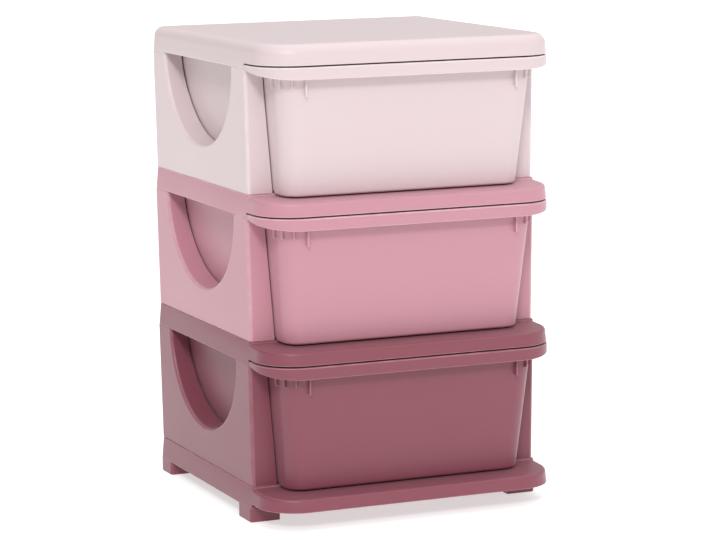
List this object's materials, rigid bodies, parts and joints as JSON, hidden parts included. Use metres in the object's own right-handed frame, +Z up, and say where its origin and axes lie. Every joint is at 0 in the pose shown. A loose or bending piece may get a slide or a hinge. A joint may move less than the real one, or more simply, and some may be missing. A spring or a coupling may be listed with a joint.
{
  "type": "drawer cabinet",
  "caption": "Low moulded plastic drawer cabinet for a child's room: stacked tiers with tapered tub drawers, full-width pull rims, half-round side windows and short feet.",
  "frame": {"origin": "on the floor, under the middle of the overall box", "axes": "+Z up, drawers open towards -Y, +X to the right of someone facing the drawers"},
  "size_m": [0.372, 0.392, 0.565],
  "materials": {
    "pale_plastic": "satin, very pale pink",
    "pink_plastic": "satin, mid pink",
    "rose_plastic": "satin, dusty rose"
  },
  "bodies": {
    "cabinet": {"top_cover": "pale_plastic", "upper_shelf": "pink_plastic", "lower_shelf": "rose_plastic", "base": "rose_plastic", "left_panel_top": "pale_plastic", "right_panel_top": "pale_plastic", "back_panel_top": "pale_plastic", "left_panel_middle": "pink_plastic", "right_panel_middle": "pink_plastic", "back_panel_middle": "pink_plastic", "left_panel_bottom": "rose_plastic", "right_panel_bottom": "rose_plastic", "back_panel_bottom": "rose_plastic"},
    "top_drawer": {"drawer_top": "pale_plastic"},
    "middle_drawer": {"drawer_middle": "pink_plastic"},
    "bottom_drawer": {"drawer_bottom": "rose_plastic"}
  },
  "joints": [
    {"name": "top_drawer_slide", "type": "slide", "parent": "cabinet", "child": "top_drawer", "axis": [0, -1, 0], "range_m": [0, 0.25]},
    {"name": "middle_drawer_slide", "type": "slide", "parent": "cabinet", "child": "middle_drawer", "axis": [0, -1, 0], "range_m": [0, 0.25]},
    {"name": "bottom_drawer_slide", "type": "slide", "parent": "cabinet", "child": "bottom_drawer", "axis": [0, -1, 0], "range_m": [0, 0.25]}
  ]
}
